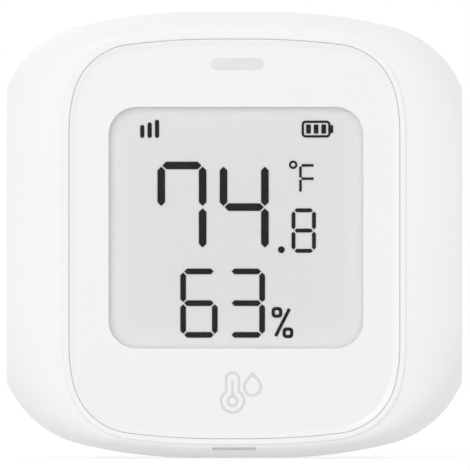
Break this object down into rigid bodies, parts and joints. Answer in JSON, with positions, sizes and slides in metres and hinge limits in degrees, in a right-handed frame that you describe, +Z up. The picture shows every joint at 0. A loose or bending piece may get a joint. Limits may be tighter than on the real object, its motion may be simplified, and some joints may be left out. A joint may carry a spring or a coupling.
{
  "type": "temperature humidity sensor",
  "caption": "Battery-powered temperature and humidity sensor with a display in a rounded-square housing that stands on a table or hangs on a wall.",
  "frame": {"origin": "middle of the base, on the surface that the sensor stands on", "axes": "+X to the right seen from the front, +Y from the display to the back, +Z up"},
  "size_m": [0.0612, 0.024, 0.06],
  "materials": {
    "white_housing": "fine satin moulding",
    "white_plate": "semi-gloss moulding",
    "clear_lens": "polished clear acrylic",
    "light_guide": "milky clear acrylic",
    "display_glass": "thin cut glass",
    "polariser": "grey film",
    "inner_plastic": "natural white moulding",
    "conductive_rubber": "striped silicone",
    "circuit_board": "green solder mask",
    "chip_black": "moulded epoxy",
    "led_white": "clear resin",
    "plated_steel": "nickel plate",
    "steel_screw": "zinc plate",
    "cell_sleeve": "printed film sleeve",
    "tape": "foam tape"
  },
  "bodies": {
    "housing": {"front_case": "white_housing", "face_plate": "white_plate", "display_window": "clear_lens", "plate_tape": "tape", "light_pipe": "light_guide", "front_polariser": "polariser", "lcd_front_glass": "display_glass", "lcd_rear_glass": "display_glass", "rear_polariser": "polariser", "lcd_holder": "inner_plastic", "zebra_strip": "conductive_rubber", "main_board": "circuit_board", "humidity_sensor": "chip_black", "status_led": "led_white", "radio_module": "circuit_board", "shield_can": "plated_steel", "controller_chip": "chip_black", "switch_body": "plated_steel", "battery_tray": "inner_plastic", "upper_cell": "cell_sleeve", "lower_cell": "cell_sleeve", "positive_terminal": "plated_steel", "negative_terminal": "plated_steel", "link_contact": "plated_steel", "upper_spring": "plated_steel", "lower_spring": "plated_steel", "board_screws": "steel_screw", "tray_screws": "steel_screw"},
    "cover": {"rear_cover": "white_housing"},
    "button": {"pairing_button": "inner_plastic", "switch_plunger": "chip_black"}
  },
  "joints": [
    {"name": "cover_pull", "type": "slide", "parent": "housing", "child": "cover", "axis": [0, 1, 0], "range_m": [0, 0.03]},
    {"name": "button_press", "type": "slide", "parent": "housing", "child": "button", "axis": [0, -1, 0], "range_m": [0, 0.0003], "stiffness_N_per_m": 5000}
  ]
}
